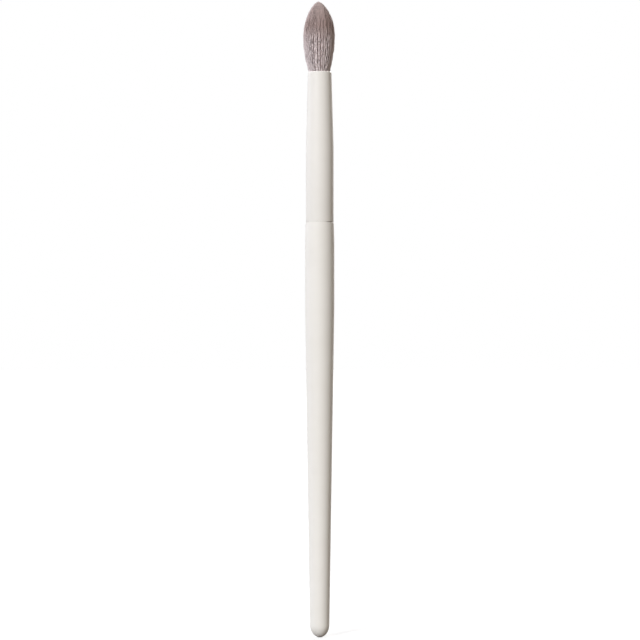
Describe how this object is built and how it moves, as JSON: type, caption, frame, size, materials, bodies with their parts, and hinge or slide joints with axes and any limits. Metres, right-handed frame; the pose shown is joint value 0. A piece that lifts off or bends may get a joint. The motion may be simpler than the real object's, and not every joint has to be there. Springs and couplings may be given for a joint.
{
  "type": "eyeshadow brush",
  "caption": "Slim eye make-up brush with a tapering lacquered wooden handle, a plain drawn ferrule and a round tuft of hair that swells and draws to a point.",
  "frame": {"origin": "lowest point of the rounded butt, on the brush's axis", "axes": "+Z runs along the brush from the butt to the point of the hair; the brush is round about it"},
  "size_m": [0.009, 0.009, 0.1782],
  "materials": {
    "handle_lacquer": "satin",
    "ferrule_enamel": "satin",
    "hair": "matte",
    "root_resin": "gloss",
    "thread": "matte",
    "glue": "satin"
  },
  "bodies": {
    "root": {"handle": "handle_lacquer", "ferrule": "ferrule_enamel", "hair_tuft": "hair", "root_plug": "root_resin", "root_thread": "thread", "tenon_glue": "glue"}
  },
  "joints": []
}
